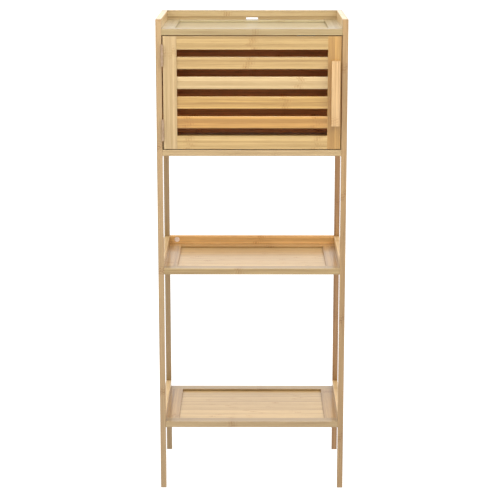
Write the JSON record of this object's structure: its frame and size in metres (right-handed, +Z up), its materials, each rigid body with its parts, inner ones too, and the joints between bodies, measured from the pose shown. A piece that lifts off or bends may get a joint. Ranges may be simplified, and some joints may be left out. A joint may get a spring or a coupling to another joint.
{
  "type": "storage tower",
  "caption": "Narrow free-standing bamboo tower with a galleried top tray, a slatted-door cabinet and open framed shelves between four slim square legs.",
  "frame": {"origin": "on the floor, under the middle of the whole object's box, handle included", "axes": "+Z up, +X to the right seen from the front, -Y towards the person who opens the door"},
  "size_m": [0.46, 0.318, 1.18],
  "materials": {
    "bamboo_door": "clear satin lacquer on light bamboo",
    "bamboo_slat": "clear satin lacquer on light bamboo",
    "bamboo_frame": "clear satin lacquer on honey bamboo",
    "bamboo_leg": "clear satin lacquer on honey bamboo",
    "bamboo_panel": "clear satin lacquer on pale bamboo board",
    "bamboo_inside": "thin bamboo board",
    "hinge_metal": "satin, warm tan plated",
    "zinc": "bright zinc plated",
    "catch_plastic": "off-white moulded"
  },
  "bodies": {
    "frame": {"bottom_rail_left": "bamboo_frame", "bottom_rail_right": "bamboo_frame", "bottom_shelf_front_rail": "bamboo_frame", "bottom_shelf_panel": "bamboo_panel", "bottom_shelf_rear_rail": "bamboo_frame", "bottom_shelf_stile_left": "bamboo_frame", "bottom_shelf_stile_right": "bamboo_frame", "cabinet_back_panel": "bamboo_inside", "cabinet_back_rail": "bamboo_frame", "cabinet_floor_front_rail": "bamboo_frame", "cabinet_floor_panel": "bamboo_panel", "cabinet_floor_rear_rail": "bamboo_frame", "cabinet_floor_stile_left": "bamboo_frame", "cabinet_floor_stile_right": "bamboo_frame", "cabinet_rail_left": "bamboo_frame", "cabinet_rail_right": "bamboo_frame", "cabinet_side_panel_left": "bamboo_inside", "cabinet_side_panel_right": "bamboo_inside", "cam_lock_left": "zinc", "cam_lock_right": "zinc", "catch_housing": "catch_plastic", "gallery_back_board": "bamboo_frame", "gallery_rail_left": "bamboo_frame", "gallery_rail_right": "bamboo_frame", "hinge_lower_frame_leaf": "hinge_metal", "hinge_lower_pin": "hinge_metal", "hinge_upper_frame_leaf": "hinge_metal", "hinge_upper_pin": "hinge_metal", "leg_back_left": "bamboo_leg", "leg_back_right": "bamboo_leg", "leg_front_left": "bamboo_leg", "leg_front_right": "bamboo_leg", "middle_back_rail": "bamboo_frame", "middle_rail_left": "bamboo_frame", "middle_rail_right": "bamboo_frame", "middle_shelf_front_rail": "bamboo_frame", "middle_shelf_panel": "bamboo_panel", "middle_shelf_rear_rail": "bamboo_frame", "middle_shelf_stile_left": "bamboo_frame", "middle_shelf_stile_right": "bamboo_frame", "top_tray_front_rail": "bamboo_frame", "top_tray_panel": "bamboo_panel", "top_tray_rear_rail": "bamboo_frame", "top_tray_stile_left": "bamboo_frame", "top_tray_stile_right": "bamboo_frame"},
    "door": {"catch_strike_plate": "zinc", "door_handle": "bamboo_door", "door_rail_bottom": "bamboo_door", "door_rail_top": "bamboo_door", "door_slat_1": "bamboo_slat", "door_slat_2": "bamboo_slat", "door_slat_3": "bamboo_slat", "door_slat_4": "bamboo_slat", "door_stile_left": "bamboo_door", "door_stile_right": "bamboo_door", "handle_screw_lower": "zinc", "handle_screw_upper": "zinc", "hinge_lower_door_leaf": "hinge_metal", "hinge_upper_door_leaf": "hinge_metal"}
  },
  "joints": [
    {"name": "door_hinge", "type": "hinge", "parent": "frame", "child": "door", "pos_m": [-0.2145, -0.1442, 1.004], "axis": [0, 0, -1], "range_deg": [0, 175]}
  ]
}
